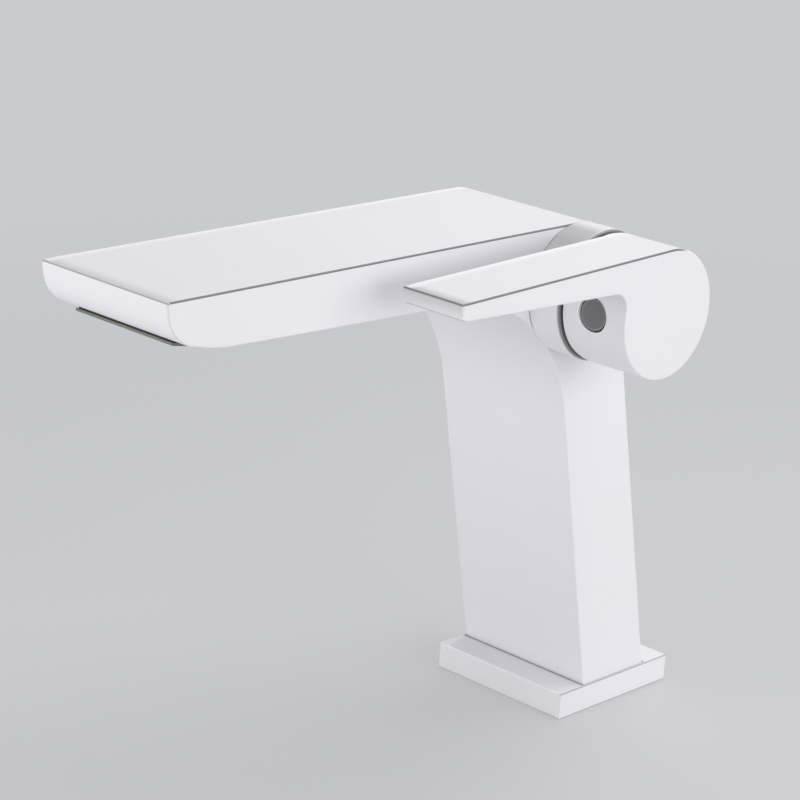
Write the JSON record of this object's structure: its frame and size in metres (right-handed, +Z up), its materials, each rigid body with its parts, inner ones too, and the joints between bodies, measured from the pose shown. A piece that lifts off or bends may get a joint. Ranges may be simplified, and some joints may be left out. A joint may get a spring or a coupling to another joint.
{
  "type": "waterfall basin tap",
  "caption": "Deck-mounted waterfall basin tap: wide flat spout on a leaning column, sheet outlet under its tip, side lever that turns about a level axis.",
  "frame": {"origin": "middle of the base plate's underside, on the surface that the tap stands on", "axes": "+Z up, the spout points along -Y, +X is the lever's side"},
  "size_m": [0.0834, 0.2126, 0.1548],
  "materials": {
    "white_lacquer": "white satin lacquer on cast metal",
    "rubber": "smooth black rubber",
    "insert_plastic": "grey moulded plastic",
    "glide_plastic": "light grey moulded plastic",
    "plug_plastic": "dark grey moulded plastic",
    "steel": "plain stainless steel",
    "cartridge_plastic": "natural white engineering plastic",
    "carrier_plastic": "blue engineering plastic",
    "disc_ceramic": "lapped alumina",
    "brass": "turned brass"
  },
  "bodies": {
    "tap": {"body": "white_lacquer", "base_plate": "white_lacquer", "deck_seal": "rubber", "foot_ring": "rubber", "outlet_insert": "insert_plastic", "outlet_seal": "rubber", "outlet_screen": "steel", "cartridge_foot": "cartridge_plastic", "cold_port_seal": "rubber", "hot_port_seal": "rubber", "outlet_port_seal": "rubber", "fixed_disc": "disc_ceramic", "cartridge_housing": "cartridge_plastic", "housing_ring": "rubber", "retaining_nut": "brass", "bonnet": "white_lacquer", "bonnet_ring": "rubber"},
    "lever": {"moving_disc": "disc_ceramic", "disc_carrier": "carrier_plastic", "stem": "brass", "stem_ring": "rubber", "limit_ring": "carrier_plastic", "glide_ring": "glide_plastic", "handle": "white_lacquer", "set_screw": "steel", "index_plug": "plug_plastic"}
  },
  "joints": [
    {"name": "lever_turn", "type": "hinge", "parent": "tap", "child": "lever", "pos_m": [0.0478, -0.03517, 0.1359], "axis": [-1, 0, 0], "range_deg": [0, 90]}
  ]
}
